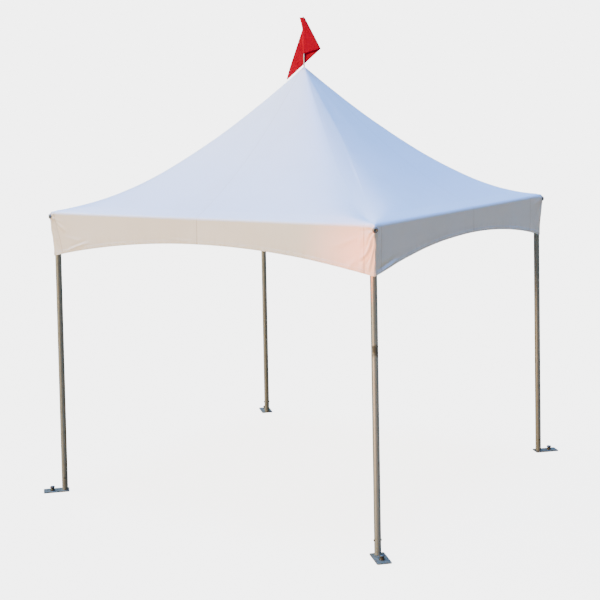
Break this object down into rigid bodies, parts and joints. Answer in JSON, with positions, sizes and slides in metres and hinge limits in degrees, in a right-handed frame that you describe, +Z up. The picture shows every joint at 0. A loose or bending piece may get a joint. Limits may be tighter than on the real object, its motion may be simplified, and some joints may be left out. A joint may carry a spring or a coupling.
{
  "type": "marquee tent",
  "caption": "High-peak frame marquee with tube legs on staked plates, a cable-held mast, a concave white canopy with arched valances, and a red pennant.",
  "frame": {"origin": "ground level, under the peak and the middle of the four legs", "axes": "+Z up, -Y out of the front side, +X out of the right side"},
  "size_m": [3.3786, 3.3786, 3.948],
  "materials": {
    "aluminium": "weathered satin",
    "galvanised": "galvanised",
    "dark_steel": "dull dark",
    "cable_steel": "zinc plated",
    "vinyl": "coated white cloth, semi-matt",
    "red_nylon": "light woven nylon"
  },
  "bodies": {
    "root": {"base_plate_front_left": "galvanised", "leg_front_left": "aluminium", "base_bolt_front_left": "dark_steel", "stake_front_left": "dark_steel", "corner_fitting_front_left": "aluminium", "corner_bolt_front_left": "dark_steel", "brace_cable_front_left": "cable_steel", "base_plate_front_right": "galvanised", "leg_front_right": "aluminium", "base_bolt_front_right": "dark_steel", "stake_front_right": "dark_steel", "corner_fitting_front_right": "aluminium", "corner_bolt_front_right": "dark_steel", "brace_cable_front_right": "cable_steel", "base_plate_back_right": "galvanised", "leg_back_right": "aluminium", "base_bolt_back_right": "dark_steel", "stake_back_right": "dark_steel", "corner_fitting_back_right": "aluminium", "corner_bolt_back_right": "dark_steel", "brace_cable_back_right": "cable_steel", "base_plate_back_left": "galvanised", "leg_back_left": "aluminium", "base_bolt_back_left": "dark_steel", "stake_back_left": "dark_steel", "corner_fitting_back_left": "aluminium", "corner_bolt_back_left": "dark_steel", "brace_cable_back_left": "cable_steel", "eave_rail_front": "aluminium", "valance_front": "vinyl", "eave_rail_right": "aluminium", "valance_right": "vinyl", "eave_rail_back": "aluminium", "valance_back": "vinyl", "eave_rail_left": "aluminium", "valance_left": "vinyl", "canopy_roof": "vinyl", "mast": "aluminium", "mast_foot": "galvanised", "mast_head": "galvanised", "flag_rod": "cable_steel", "pennant": "red_nylon"}
  },
  "joints": []
}
